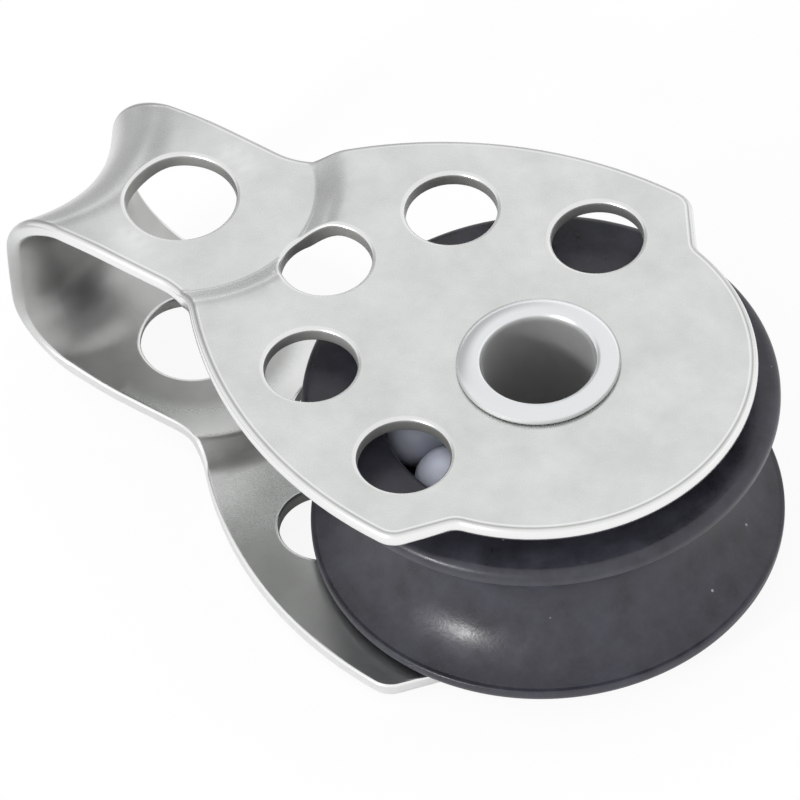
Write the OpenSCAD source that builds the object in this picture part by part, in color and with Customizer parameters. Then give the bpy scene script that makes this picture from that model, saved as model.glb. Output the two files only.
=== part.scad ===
// Small ball-bearing sailing block, 22 mm sheave.
// One strip of stainless sheet is bent into both cheeks and the head loop. A hollow
// rivet with an inner race round it is the axle, and the moulded sheave turns on two
// rows of balls, which also take the side load against the cheeks.
// The axle lies along Z and the head eye towards -X. The origin is the middle of the
// axle, halfway between the cheeks. The block lies on its side, so the sheave and its
// balls have settled towards the lower cheek. Sizes are in millimetres.

/* [Sheave] */
// Outer diameter of the sheave
sheave_d = 22; // [21.6:0.1:22.4]
// Width over the rims
sheave_w = 9; // [8.9:0.1:9.3]
// Radius of the sheave at the bottom of the groove, for rope up to 6 mm
groove_bottom_r = 8.1; // [8:0.1:8.4]
// Thickness of each rim at its edge
rim_t = 0.8; // [0.6:0.1:1]
// How far the sheave has settled towards the lower cheek, within its end play
sheave_drop = 0.45; // [0:0.05:0.45]

/* [Bearing] */
// Diameter of a ball, one eighth of an inch
ball_d = 3.175; // [3:0.025:3.175]
// Balls in each row
ball_count = 11; // [9:1:11]
// Radius of the circle that the balls' centres run on
ball_pitch_r = 5.76; // [5.74:0.01:5.85]
// Distance of each row from the middle of the sheave
row_offset = 3.1; // [3:0.05:3.1]
// Running clearance between a ball and each surface that it rolls on
ball_gap = 0.05; // [0.03:0.01:0.06]
// Direction of the first ball of the upper row, in degrees from +X
first_ball_angle = -102.3; // [-118:0.1:-86]

/* [Cheeks] */
// Thickness of the stainless sheet
sheet_t = 0.8; // [0.7:0.05:0.85]
// Width of the block over both cheeks
block_w = 12; // [12:0.1:12.6]
// Radius of the crown round the axle
crown_r = 10; // [9.8:0.1:10.2]
// Radius of the long side curve
side_r = 20.8; // [20.6:0.1:21]
// How far the shoulders and the long side curves are set back towards the head
side_back = 0.4; // [0.2:0.1:0.6]
// Half the width of the cheek at its shoulder
shoulder_h = 12.15; // [12:0.05:12.3]
// Radius of the rounded shoulder
corner_r = 1.25; // [1:0.05:1.4]
// Slope of the short edge from the shoulder down to the crown, in degrees
shoulder_slope = 52; // [50:0.5:54]
// Radius of the notch where that edge meets the crown
notch_r = 0.9; // [0.7:0.1:1.2]
// Radius of a lightening hole
light_r = 2.12; // [1.9:0.01:2.2]

/* [Head] */
// Distance from the axle to the head eye
eye_x = 20; // [19.9:0.1:20.1]
// Radius of the head eye, for a 5 mm pin
eye_r = 2.55; // [2.3:0.05:2.6]
// How far each head plate is pressed in from its cheek
joggle = 0.65; // [0.5:0.05:0.8]
// Radius round the eye where the joggle starts
joggle_r1 = 6.1; // [6:0.05:6.2]
// Radius round the eye where the joggle reaches the cheek
joggle_r2 = 7.6; // [7.3:0.05:7.8]
// Half the width of the strip at the head plates
neck_h = 4.75; // [4.6:0.05:4.9]
// Half the width of the strip at the end of the loop
loop_h = 4.4; // [4.2:0.05:4.6]
// Radius of the waist between head and cheek
waist_r = 3.5; // [3:0.1:4]
// Distance from the axle to the outside of the loop, on the centre line
loop_x = 26; // [25.8:0.1:26.2]
// Outer radius of each corner of the loop, seen from the side
bend_r = 4.1; // [3.6:0.1:4.4]
// Hollow of the loop's end, as the radius of its saddle in plan
saddle_r = 10; // [9.8:0.1:12]

/* [Axle] */
// Radius of the bore through the rivet, for a 5 mm pin
bore_r = 2.55; // [2.5:0.01:2.58]
// Wall of the rivet's tube
rivet_wall = 0.25; // [0.22:0.01:0.26]
// Outer radius of the rivet's rolled ring
ring_r = 3.75; // [3.6:0.05:3.9]
// How far the ring stands above the cheek
ring_h = 0.42; // [0.36:0.02:0.46]

/* [Hidden] */
$fn = 96;
ball_facets = 48;
turned_facets = 180;
long_arc_facets = 240;
joggle_steps = 8;
neck_end_x = -22.2;
leaf_reach = 34;
cut_past = 2;
overlap = 1;
lap = 1.5;
slide_gap = 0.02;
race_slip = 0.05;
race_chamfer = 0.3;
web_gap = 0.15;
mouth_chamfer = 0.2;
rim_chamfer = 0.4;
ball_r = ball_d / 2;
rivet_r = bore_r + rivet_wall;
race_r = ball_pitch_r - ball_r - ball_gap;
pocket_r = ball_pitch_r + ball_r + ball_gap;
pocket_floor = row_offset - ball_r - ball_gap;
sheave_r = sheave_d / 2;
sheave_half = sheave_w / 2;
groove_depth = sheave_r - groove_bottom_r;
groove_r = (pow(sheave_half - rim_t, 2) + pow(groove_depth, 2)) / (2 * groove_depth);
half_w = block_w / 2;
inner_half = half_w - sheet_t;
head_half = half_w - joggle;
saddle_x = -loop_x - saddle_r;
bend_line_r = saddle_r + bend_r;
bend_top = head_half - bend_r;
side_centre = [-side_back, shoulder_h - side_r];
corner_centre = [-side_back, shoulder_h - corner_r];
slope_out = [cos(90 - shoulder_slope), sin(90 - shoulder_slope)];
slope_along = [slope_out.y, -slope_out.x];
corner_end = corner_centre + corner_r * slope_out;
notch_start = corner_end + notch_r * slope_out;
notch_centre = notch_start + slope_along * first_reach(notch_start, slope_along, crown_r + notch_r);
waist_centre = [side_centre.x - sqrt(pow(side_r + waist_r, 2) - pow(neck_h + waist_r - side_centre.y, 2)),
                neck_h + waist_r];
waist_on_side = side_centre + (waist_centre - side_centre) * side_r / (side_r + waist_r);
light_holes = [[-2.05, 7.76], [-8.69, 5.6], [-11.8, 0], [-8.69, -5.6], [-2.05, -7.76]];
ring_half = (ring_r - bore_r) / 2;
ring_arc_r = (ring_half * ring_half + ring_h * ring_h) / (2 * ring_h);

// Distance along a line, from a start point, to the first point at radius r from the axle
function first_reach(start, along, r) =
    let (b = start * along, c = start * start - r * r)
    -b - sqrt(b * b - c);

// Rise from 0 to 1 that is steepest at the start and level at the end
function rise(u) = sin(90 * u);

// Edge of the joggle in section round the eye: radius and height, pushed out by shift
function joggle_curve(drop, shift) =
    [for (k = [0:joggle_steps])
        let (u = k / joggle_steps)
        [joggle_r1 + shift + u * (joggle_r2 - joggle_r1), head_half - drop + joggle * rise(u)]];

// A point of the +Y half of the outline, or its twin on the -Y half
function on_side(p, side) = [p.x, side * p.y];

// A flat shape drawn out past both cheeks, to cut the strap to its outline
module through() {
    linear_extrude(height = block_w + cut_past, center = true) children();
}

// One side of the strap's outline: side curve, shoulder with its slope and notch, and waist
module outline_side(side) {
    through() intersection() {
        translate(on_side(side_centre, side)) circle(r = side_r, $fn = long_arc_facets);
        polygon([for (p = [[waist_on_side.x, -overlap], [side_centre.x, -overlap],
                           [side_centre.x, shoulder_h], [waist_on_side.x, shoulder_h]])
                 on_side(p, side)]);
    }
    through() translate(on_side(corner_centre, side)) circle(r = corner_r);
    through() difference() {
        polygon([for (p = [[-overlap, 0], corner_centre - [overlap, 0], corner_centre, corner_end,
                           notch_centre - notch_r * slope_out, notch_centre, notch_centre / 2])
                 on_side(p, side)]);
        translate(on_side(notch_centre, side)) circle(r = notch_r);
    }
    through() difference() {
        polygon([for (p = [[waist_centre.x, -overlap], waist_centre, waist_on_side,
                           [waist_on_side.x + overlap, -overlap]])
                 on_side(p, side)]);
        translate(on_side(waist_centre, side)) circle(r = waist_r);
    }
}

module strap_outline() {
    through() circle(r = crown_r, $fn = long_arc_facets);
    outline_side(1);
    outline_side(-1);
    through() polygon([[-loop_x - cut_past, -loop_h], [-loop_x - cut_past, loop_h],
                       [neck_end_x, neck_h], [waist_centre.x + overlap, neck_h],
                       [waist_centre.x + overlap, -neck_h], [neck_end_x, -neck_h]]);
}

// One leaf of the strap: a head plate inside, the joggle, and the cheek outside
module upper_leaf() {
    difference() {
        translate([-eye_x, 0, 0]) rotate_extrude($fn = turned_facets)
            polygon(concat([[0, head_half]], joggle_curve(0, 0),
                           [[leaf_reach, half_w], [leaf_reach, inner_half]],
                           [for (k = [joggle_steps:-1:0]) joggle_curve(sheet_t, sheet_t / 2)[k]],
                           [[0, head_half - sheet_t]]));
        translate([saddle_x, 0, 0]) cylinder(r = bend_line_r + lap / 2, h = block_w, $fn = long_arc_facets);
    }
}

// The loop's end seen from the side: two corners of radius r and the straight between them
module bend_outline(r) {
    intersection() {
        union() {
            for (z = [-bend_top, bend_top]) translate([bend_line_r, z]) circle(r = r);
            translate([bend_line_r - r, -bend_top]) square([r, 2 * bend_top]);
        }
        translate([bend_line_r - r, -head_half]) square([r, 2 * head_half]);
    }
}

// The loop at the head end: the bend is carried round the hollow of the saddle
module loop_bend() {
    translate([saddle_x, 0, 0]) rotate_extrude($fn = long_arc_facets) {
        difference() {
            bend_outline(bend_r);
            bend_outline(bend_r - sheet_t);
        }
        for (z = [-head_half, head_half - sheet_t])
            translate([bend_line_r, z]) square([lap, sheet_t]);
    }
}

module strap_frame() {
    color([0.79, 0.80, 0.80]) difference() {
        intersection() {
            union() {
                upper_leaf();
                mirror([0, 0, 1]) upper_leaf();
                loop_bend();
            }
            strap_outline();
        }
        cylinder(r = rivet_r + slide_gap, h = block_w + cut_past, center = true);
        translate([-eye_x, 0, 0]) cylinder(r = eye_r, h = block_w + cut_past, center = true);
        for (p = light_holes) translate(p) cylinder(r = light_r, h = block_w + cut_past, center = true);
    }
}

// Rolled ring at one end of the rivet, in section
module ring_section() {
    intersection() {
        translate([bore_r + ring_half, half_w + ring_h - ring_arc_r]) circle(r = ring_arc_r);
        translate([bore_r, half_w]) square([2 * ring_half, ring_h]);
    }
}

module hollow_rivet() {
    color([0.85, 0.86, 0.86]) rotate_extrude() {
        translate([bore_r, -half_w]) square([rivet_wall, block_w]);
        ring_section();
        mirror([0, 1]) ring_section();
    }
}

// Stationary sleeve round the rivet, clamped between the cheeks, that the balls roll on
module inner_race() {
    color([0.70, 0.71, 0.72]) rotate_extrude()
        polygon([[rivet_r + race_slip, -inner_half], [race_r - race_chamfer, -inner_half],
                 [race_r, -inner_half + race_chamfer], [race_r, inner_half - race_chamfer],
                 [race_r - race_chamfer, inner_half], [rivet_r + race_slip, inner_half]]);
}

// Corners of the sheave's section on one face, from the web out to the rim
function face_corners(side) =
    [[race_r + web_gap, side * pocket_floor], [pocket_r, side * pocket_floor],
     [pocket_r, side * (sheave_half - mouth_chamfer)], [pocket_r + mouth_chamfer, side * sheave_half],
     [sheave_r - rim_chamfer, side * sheave_half], [sheave_r, side * (sheave_half - rim_chamfer)]];

module sheave() {
    color([0.23, 0.23, 0.25]) translate([0, 0, -sheave_drop]) rotate_extrude($fn = turned_facets)
        difference() {
            polygon(concat(face_corners(1), [for (k = [5:-1:0]) face_corners(-1)[k]]));
            translate([groove_bottom_r + groove_r, 0]) circle(r = groove_r);
        }
}

// One ball, by its place in the row; side is 1 for the upper row and -1 for the lower
module ball(k, side) {
    pitch = 360 / ball_count;
    phase = side > 0 ? 0 : pitch / 2;
    color([0.86, 0.88, 0.91]) rotate([0, 0, first_ball_angle + phase + (k - 1) * pitch])
        translate([ball_pitch_r, 0, side * row_offset - sheave_drop]) sphere(r = ball_r, $fn = ball_facets);
}

strap_frame();
hollow_rivet();
inner_race();
sheave();
for (k = [1:ball_count]) ball(k, 1);
for (k = [1:ball_count]) ball(k, -1);
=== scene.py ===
"""A small ball-bearing sailing block, lying on its side in a white studio.

One strip of tumbled stainless sheet is bent into both cheeks and the head loop. A hollow
rivet joins the cheeks, and a charcoal acetal sheave turns round it on two rows of balls.
Shapes are worked out in millimetres and become meshes in metres. The axle is the Z axis
and the head eye lies towards -X.
"""

import logging
import math
from dataclasses import dataclass, field
from enum import Enum

import bmesh
import bpy
import numpy as np
from mathutils import Matrix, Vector
from mathutils.geometry import delaunay_2d_cdt


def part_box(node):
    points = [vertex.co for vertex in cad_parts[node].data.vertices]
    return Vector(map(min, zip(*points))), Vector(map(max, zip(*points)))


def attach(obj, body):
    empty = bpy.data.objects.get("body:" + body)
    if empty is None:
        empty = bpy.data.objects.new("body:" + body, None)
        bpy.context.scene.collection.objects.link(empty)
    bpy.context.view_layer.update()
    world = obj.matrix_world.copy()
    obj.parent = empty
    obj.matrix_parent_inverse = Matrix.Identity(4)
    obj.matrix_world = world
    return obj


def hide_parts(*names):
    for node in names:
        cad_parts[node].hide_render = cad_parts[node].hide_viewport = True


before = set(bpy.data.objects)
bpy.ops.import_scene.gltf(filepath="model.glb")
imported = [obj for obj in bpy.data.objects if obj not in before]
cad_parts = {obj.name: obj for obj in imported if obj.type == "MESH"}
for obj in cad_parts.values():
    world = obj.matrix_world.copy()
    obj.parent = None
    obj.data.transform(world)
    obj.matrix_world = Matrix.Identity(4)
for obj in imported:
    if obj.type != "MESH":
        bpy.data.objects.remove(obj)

LOG = logging.getLogger("sailing_block")
MM = 0.001
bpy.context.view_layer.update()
POLISH_AND_LIGHT = "polish_and_painted_light"
WHITE = (1.0, 1.0, 1.0, 1.0)
ACETAL_IOR = 1.48
# Points of a piece that are closer than this become one.
WELD_MM = 2e-5
# Points of a flat mesh that are closer than this count as one.
MATCH_MM = 1e-9
# Nearly all values of a noise lie between these two.
NOISE_LOW, NOISE_HIGH = 0.3, 0.7


class Slot(Enum):
    """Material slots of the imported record."""

    STRAP = "strap_stainless"
    RIVET = "rivet_stainless"
    RACE = "race_stainless"
    SHEAVE = "sheave_acetal"
    BALL = "ball_acetal"


class Side(Enum):
    """The two rows of balls, by the word that their names start with."""

    UPPER = "upper"
    LOWER = "lower"


@dataclass
class Surface:
    """Points of a piece in millimetres, its faces as rows of point numbers, and its polish.

    This value of a point is 0 for a plain face and up to 1 for burnished metal, which is smoother
    and takes a lighter colour as a painted highlight. Below 0 a darker tint paints shade and the
    face is rougher, down to -1, and down to -2 for the rough wall of a punched hole.
    """

    points: np.ndarray
    faces: list[np.ndarray]
    polish_and_painted_light: np.ndarray | None = None

    def __post_init__(self) -> None:
        """A surface without a stated polish is plain."""
        if self.polish_and_painted_light is None:
            self.polish_and_painted_light = np.zeros(len(self.points))

    def joined(self, other: "Surface") -> "Surface":
        """Both surfaces as one, with the other's point numbers moved up.

        Args:
            other: The surface to add.

        Returns:
            A new surface that holds the points and faces of both.
        """
        start = len(self.points)
        points = np.concatenate([self.points, other.points])
        polish_and_painted_light = np.concatenate([self.polish_and_painted_light, other.polish_and_painted_light])
        return Surface(points, self.faces + [rows + start for rows in other.faces], polish_and_painted_light)

    def mirrored(self) -> "Surface":
        """The surface seen in the plane Z = 0, with its faces turned to point outwards."""
        return Surface(self.points * [1, 1, -1], [rows[:, ::-1] for rows in self.faces], self.polish_and_painted_light)


def cad_extent(node: str) -> tuple[np.ndarray, np.ndarray]:
    """Lowest and highest corner of a node of the frame, in millimetres.

    Args:
        node: The node's name.

    Returns:
        Two arrays of X, Y and Z.
    """
    low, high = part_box(node)
    return np.array(low) / MM, np.array(high) / MM


def add_object(name: str, data: bpy.types.ID) -> bpy.types.Object:
    """A new object at the origin that shows a mesh, a lamp or a camera.

    Args:
        name: The object's name.
        data: The mesh, lamp or camera.

    Returns:
        The object, in the scene.
    """
    made = bpy.data.objects.new(name, data)
    bpy.context.scene.collection.objects.link(made)
    return made


def make_piece(name: str, surface: Surface, body: str, material: bpy.types.Material,
               stands_for: tuple[str, ...]) -> bpy.types.Object:
    """Turns a surface into a piece that rides on a body and stands for nodes of the frame.

    Points closer than the weld distance become one, so that strips that meet share an edge.

    Args:
        name: The piece's name.
        surface: Its points and faces, in millimetres.
        body: The body that it moves with.
        material: Its material.
        stands_for: The nodes of the frame that it replaces.

    Returns:
        The new object, at the origin.
    """
    mesh = bpy.data.meshes.new(name)
    rows = [row for block in surface.faces for row in block.tolist()]
    mesh.from_pydata((surface.points * MM).tolist(), [], rows)
    # The attribute also carries painted light: a lighter colour as a highlight, a darker tint as shade.
    polish_and_painted_light = mesh.attributes.new(POLISH_AND_LIGHT, "FLOAT", "POINT")
    polish_and_painted_light.data.foreach_set("value", surface.polish_and_painted_light.astype(np.float32))
    shell = bmesh.new()
    shell.from_mesh(mesh)
    bmesh.ops.remove_doubles(shell, verts=shell.verts, dist=WELD_MM * MM)
    shell.to_mesh(mesh)
    shell.free()
    mesh.shade_smooth()
    mesh.materials.append(material)
    piece = add_object(name, mesh)
    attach(piece, body)
    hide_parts(*stands_for)
    LOG.info("%s: %d faces on body %s", name, len(mesh.polygons), body)
    return piece


def grid_quads(rows: int, columns: int, closed_rows: bool, closed_columns: bool) -> np.ndarray:
    """Quads of a grid of points that is stored row by row.

    Args:
        rows: How many rows of points there are.
        columns: How many points a row has.
        closed_rows: True where the last row joins the first.
        closed_columns: True where the last column joins the first.

    Returns:
        One row of four point numbers per quad, which goes along a column before a row.
    """
    row = np.arange(rows if closed_rows else rows - 1)[:, None]
    column = np.arange(columns if closed_columns else columns - 1)[None, :]
    next_row = (row + 1) % rows
    next_column = (column + 1) % columns
    corners = [row * columns + column, next_row * columns + column,
               next_row * columns + next_column, row * columns + next_column]
    whole = [np.broadcast_to(corner, (row.size, column.size)) for corner in corners]
    return np.stack(whole, axis=-1).reshape(-1, 4)


def arc(centre: np.ndarray | tuple[float, float], radius: float, start: float, end: float,
        step: float) -> tuple[np.ndarray, np.ndarray]:
    """Points along an arc, evenly spaced by angle.

    Args:
        centre: X and Y of the arc's centre.
        radius: Its radius.
        start: Angle of its first point, in radians from +X.
        end: Angle of its last point.
        step: The longest distance between two points.

    Returns:
        The points, and the unit directions from the centre to them.
    """
    count = max(2, math.ceil(abs(end - start) * radius / step) + 1)
    angle = np.linspace(start, end, count)
    ray = np.stack([np.cos(angle), np.sin(angle)], axis=1)
    return np.asarray(centre) + radius * ray, ray


def rounded_section(corners: list[tuple[float, float, float]], steps: int = 5,
                    guard: float = 0.05) -> np.ndarray:
    """A closed section with its corners rounded by arcs that meet the sides smoothly.

    An arc of radius r starts at r / tan(half the corner's angle) from the corner. One more
    point stands a guard length beyond each end of an arc, or halfway along what is left of
    the side where that is nearer, so that the flats shade flat.

    Args:
        corners: Radius from the axle, height and rounding radius of each corner, anticlockwise.
        steps: How many steps an arc has.
        guard: Distance of the extra points from the arc's ends.

    Returns:
        The section's points, as rows of radius and height.
    """
    table = np.array(corners)
    out = []
    for k, (r, z, rounding) in enumerate(corners):
        here = np.array([r, z])
        if rounding == 0:
            out.append(here[None])
            continue
        back = table[k - 1, :2] - here
        ahead = table[(k + 1) % len(corners), :2] - here
        back_length, ahead_length = np.hypot(*back), np.hypot(*ahead)
        back, ahead = back / back_length, ahead / ahead_length
        half = math.acos(np.clip(back @ ahead, -1, 1)) / 2
        reach = rounding / math.tan(half)
        centre = here + (back + ahead) / np.hypot(*(back + ahead)) * rounding / math.sin(half)
        share = np.linspace(0, 1, steps + 1)[:, None]
        first, last = here + back * reach - centre, here + ahead * reach - centre
        turn = math.pi - 2 * half
        bow = (np.sin((1 - share) * turn) * first + np.sin(share * turn) * last) / math.sin(turn)
        ends = [here + back * min(reach + guard, (back_length + reach) / 2),
                here + ahead * min(reach + guard, (ahead_length + reach) / 2)]
        out.append(np.concatenate([ends[0][None], centre + bow, ends[1][None]]))
    return np.concatenate(out)


def revolved(section: np.ndarray, steps: int, polish_and_painted_light: np.ndarray | None = None) -> Surface:
    """A closed section carried once round the Z axis.

    The point of the section at radius r and height z goes to (r cos a, r sin a, z).

    Args:
        section: Rows of radius and height, anticlockwise.
        steps: How many steps one turn has.
        polish_and_painted_light: The polish of each point of the section, or None for a plain surface.

    Returns:
        The closed surface.
    """
    angle = np.linspace(0, 2 * math.pi, steps, endpoint=False)[:, None]
    radius, height = section[None, :, 0], section[None, :, 1]
    points = np.stack([radius * np.cos(angle), radius * np.sin(angle), height + 0 * angle], axis=-1)
    return Surface(points.reshape(-1, 3), [grid_quads(steps, len(section), True, True)],
                   None if polish_and_painted_light is None else np.tile(polish_and_painted_light, steps))


def ball_surface(centre: np.ndarray, radius: float, rings: int = 24, steps: int = 48) -> Surface:
    """A ball as rings between two poles: (sin a cos b, sin a sin b, cos a) times its radius.

    Args:
        centre: The ball's centre.
        radius: Its radius.
        rings: How many steps lie between the poles.
        steps: How many steps one ring has.

    Returns:
        The closed surface, with triangles at the poles.
    """
    fall = np.linspace(0, math.pi, rings + 1)[1:-1, None]
    turn = np.linspace(0, 2 * math.pi, steps, endpoint=False)[None, :]
    out = np.sin(fall)
    shell = np.stack([out * np.cos(turn), out * np.sin(turn), np.cos(fall) + 0 * turn], axis=-1)
    points = np.concatenate([shell.reshape(-1, 3), [[0, 0, 1], [0, 0, -1]]])
    top, bottom = len(points) - 2, len(points) - 1
    here = np.arange(steps)
    ahead = (here + 1) % steps
    last = (rings - 2) * steps
    caps = [np.stack([np.full(steps, top), here, ahead], axis=1),
            np.stack([np.full(steps, bottom), last + ahead, last + here], axis=1)]
    return Surface(centre + radius * points, [grid_quads(rings - 1, steps, False, True), *caps])


def linear(colour: str) -> tuple[float, float, float, float]:
    """An sRGB colour such as #C8C9CA as the linear values that a shader takes.

    Each part p of 1 is p / 12.92 up to 0.04045, and ((p + 0.055) / 1.055) ^ 2.4 above it.

    Args:
        colour: The colour as six hex digits after a hash sign.

    Returns:
        Red, green, blue and an alpha of 1.
    """
    parts = [int(colour[k:k + 2], 16) / 255 for k in (1, 3, 5)]
    values = [p / 12.92 if p <= 0.04045 else ((p + 0.055) / 1.055) ** 2.4 for p in parts]
    return (*values, 1.0)


def add_node(tree: bpy.types.NodeTree, kind: str, inputs: dict | None = None,
             **settings: object) -> bpy.types.Node:
    """Adds one node to a tree, with its settings, values and links.

    Args:
        tree: The node tree.
        kind: The node's type.
        inputs: Input socket name or number to a value, to the output socket to link, or to
            the node whose first output in use is linked.
        settings: The node's own properties.

    Returns:
        The new node.
    """
    node = tree.nodes.new(kind)
    for key, value in settings.items():
        setattr(node, key, value)
    for key, value in (inputs or {}).items():
        if isinstance(value, bpy.types.Node):
            value = next(socket for socket in value.outputs if socket.enabled)
        if isinstance(value, bpy.types.NodeSocket):
            tree.links.new(value, node.inputs[key])
        else:
            node.inputs[key].default_value = value
    return node


def blank_tree(owner: bpy.types.Material | bpy.types.World) -> bpy.types.NodeTree:
    """The owner's node tree, emptied.

    Args:
        owner: A material or a world.

    Returns:
        Its empty node tree.
    """
    owner.use_nodes = True
    owner.node_tree.nodes.clear()
    return owner.node_tree


def new_material(name: str) -> tuple[bpy.types.Material, bpy.types.NodeTree, bpy.types.NodeSocket]:
    """A material whose node tree holds nothing but Object coordinates.

    Args:
        name: The material's name.

    Returns:
        The material, its tree, and the socket of the coordinates.
    """
    material = bpy.data.materials.new(name)
    tree = blank_tree(material)
    return material, tree, add_node(tree, "ShaderNodeTexCoord").outputs["Object"]


def noise_scale(size_mm: float) -> float:
    """The scale at which a noise on Object coordinates has features of that size."""
    return 1 / (size_mm * MM)


@dataclass(frozen=True)
class TumbledStainless:
    """Stainless steel after vibratory tumbling.

    The media leave a satin face that is faintly mottled, with fine pits. They polish what is
    convex and make it smoother, and a lighter colour paints a highlight on it. Inner faces are
    rougher, and a darker tint paints shade on them.
    """

    name: str
    colour: str = "#E9EBEA"
    dull_colour: str = "#C6C8C6"
    # Lighter colour of polished parts: a painted highlight.
    painted_highlight_colour: str = "#F1F2F1"
    # Darker tint of inner faces and hole walls: painted shade.
    painted_shade_tint: str = "#BEBDBB"
    roughness: float = 0.27
    polished_roughness: float = 0.2
    inner_roughness: float = 0.37
    punched_roughness: float = 0.62
    roughness_spread: float = 0.03
    mottle_mm: float = 2.6
    pit_mm: float = 0.09
    pit_depth_mm: float = 0.00012
    wave_mm: float = 1.3
    wave_depth_mm: float = 0.0007
    inner_wave_depth_mm: float = 0.02

    def build(self) -> bpy.types.Material:
        """The finish as a material: mottled colour and gloss, with pits over shallow waves.

        Returns:
            The new material.
        """
        material, tree, place = new_material(self.name)
        mottle = add_node(tree, "ShaderNodeTexNoise", {
            "Vector": place, "Scale": noise_scale(self.mottle_mm), "Detail": 4.0, "Roughness": 0.62})
        pits = add_node(tree, "ShaderNodeTexNoise", {
            "Vector": place, "Scale": noise_scale(self.pit_mm), "Detail": 2.0, "Roughness": 0.5})
        waves = add_node(tree, "ShaderNodeTexNoise", {
            "Vector": place, "Scale": noise_scale(self.wave_mm), "Detail": 2.0, "Roughness": 0.45})
        colour = add_node(tree, "ShaderNodeMix", {
            "Factor": mottle, "A": linear(self.dull_colour), "B": linear(self.colour)}, data_type="RGBA")
        spread = add_node(tree, "ShaderNodeMapRange", {
            "Value": pits, "From Min": NOISE_LOW, "From Max": NOISE_HIGH,
            "To Min": self.roughness - self.roughness_spread,
            "To Max": self.roughness + self.roughness_spread})
        polish_and_painted_light = add_node(tree, "ShaderNodeAttribute", attribute_name=POLISH_AND_LIGHT).outputs["Fac"]
        dull_and_shade = add_node(tree, "ShaderNodeMath", {0: polish_and_painted_light, 1: -1.0}, operation="MULTIPLY")
        wave_depth = add_node(tree, "ShaderNodeMapRange", {
            "Value": dull_and_shade, "From Min": 0.0, "From Max": 1.0,
            "To Min": self.wave_depth_mm * MM, "To Max": self.inner_wave_depth_mm * MM})
        wavy = add_node(tree, "ShaderNodeBump", {
            "Height": waves, "Strength": 1.0, "Distance": wave_depth})
        pitted = add_node(tree, "ShaderNodeBump", {
            "Height": pits, "Normal": wavy, "Strength": 1.0, "Distance": self.pit_depth_mm * MM})
        # Inner faces and hole walls are tinted darker: painted shade.
        shaded = add_node(tree, "ShaderNodeMix", {
            "Factor": dull_and_shade, "A": colour, "B": linear(self.painted_shade_tint)},
            data_type="RGBA", blend_type="MULTIPLY")
        # Polished parts take a lighter colour: a painted highlight.
        highlighted = add_node(tree, "ShaderNodeMix", {
            "Factor": polish_and_painted_light, "A": shaded, "B": linear(self.painted_highlight_colour)}, data_type="RGBA")
        rough = add_node(tree, "ShaderNodeMix", {
            "Factor": dull_and_shade, "A": spread, "B": self.inner_roughness}, data_type="FLOAT")
        punched = add_node(tree, "ShaderNodeMapRange", {
            "Value": dull_and_shade, "From Min": 1.0, "From Max": 2.0,
            "To Min": rough, "To Max": self.punched_roughness})
        smooth = add_node(tree, "ShaderNodeMix", {
            "Factor": polish_and_painted_light, "A": punched, "B": self.polished_roughness}, data_type="FLOAT")
        shader = add_node(tree, "ShaderNodeBsdfPrincipled", {
            "Base Color": highlighted, "Metallic": 1.0, "Roughness": smooth, "Normal": pitted})
        add_node(tree, "ShaderNodeOutputMaterial", {"Surface": shader})
        return material


@dataclass(frozen=True)
class MouldedAcetal:
    """Charcoal acetal from a fine-spark mould.

    It is a soft satin black with a faint blue cast, scuffed to a slightly lighter grey, with
    pale dust specks that are drawn coarser than real ones so that they show.
    """

    name: str
    colour: str = "#28282F"
    scuffed_colour: str = "#3E3F49"
    speck_colour: str = "#A9ABB2"
    roughness: float = 0.33
    # How far the scuffs vary the roughness down and up.
    smoother: float = 0.08
    rougher: float = 0.1
    scuff_mm: float = 1.8
    scuff_range: tuple[float, float] = (0.35, 0.75)
    grain_mm: float = 0.2
    grain_depth_mm: float = 0.008
    speck_mm: float = 1.9
    # Radius of a speck as a share of the distance between specks, and how opaque it is.
    speck_reach: float = 0.045
    speck_cover: float = 0.8

    def build(self) -> bpy.types.Material:
        """The finish as a material: scuffs and specks in the colour, and a fine moulded grain.

        Returns:
            The new material.
        """
        material, tree, place = new_material(self.name)
        scuffs = add_node(tree, "ShaderNodeTexNoise", {
            "Vector": place, "Scale": noise_scale(self.scuff_mm), "Detail": 6.0, "Roughness": 0.66})
        grain = add_node(tree, "ShaderNodeTexNoise", {
            "Vector": place, "Scale": noise_scale(self.grain_mm), "Detail": 2.0, "Roughness": 0.6})
        specks = add_node(tree, "ShaderNodeTexVoronoi", {
            "Vector": place, "Scale": noise_scale(self.speck_mm)})
        scuffed = add_node(tree, "ShaderNodeMapRange", {
            "Value": scuffs, "From Min": self.scuff_range[0], "From Max": self.scuff_range[1],
            "To Min": 0.0, "To Max": 1.0})
        worn = add_node(tree, "ShaderNodeMix", {
            "Factor": scuffed, "A": linear(self.colour), "B": linear(self.scuffed_colour)},
            data_type="RGBA")
        near_speck = add_node(tree, "ShaderNodeMapRange", {
            "Value": specks, "From Min": self.speck_reach / 2, "From Max": self.speck_reach,
            "To Min": self.speck_cover, "To Max": 0.0})
        colour = add_node(tree, "ShaderNodeMix", {
            "Factor": near_speck, "A": worn, "B": linear(self.speck_colour)}, data_type="RGBA")
        gloss = add_node(tree, "ShaderNodeMapRange", {
            "Value": scuffs, "From Min": NOISE_LOW, "From Max": NOISE_HIGH,
            "To Min": self.roughness - self.smoother, "To Max": self.roughness + self.rougher})
        bump = add_node(tree, "ShaderNodeBump", {
            "Height": grain, "Strength": 1.0, "Distance": self.grain_depth_mm * MM})
        shader = add_node(tree, "ShaderNodeBsdfPrincipled", {
            "Base Color": colour, "Roughness": gloss, "IOR": ACETAL_IOR, "Normal": bump})
        add_node(tree, "ShaderNodeOutputMaterial", {"Surface": shader})
        return material


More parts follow.
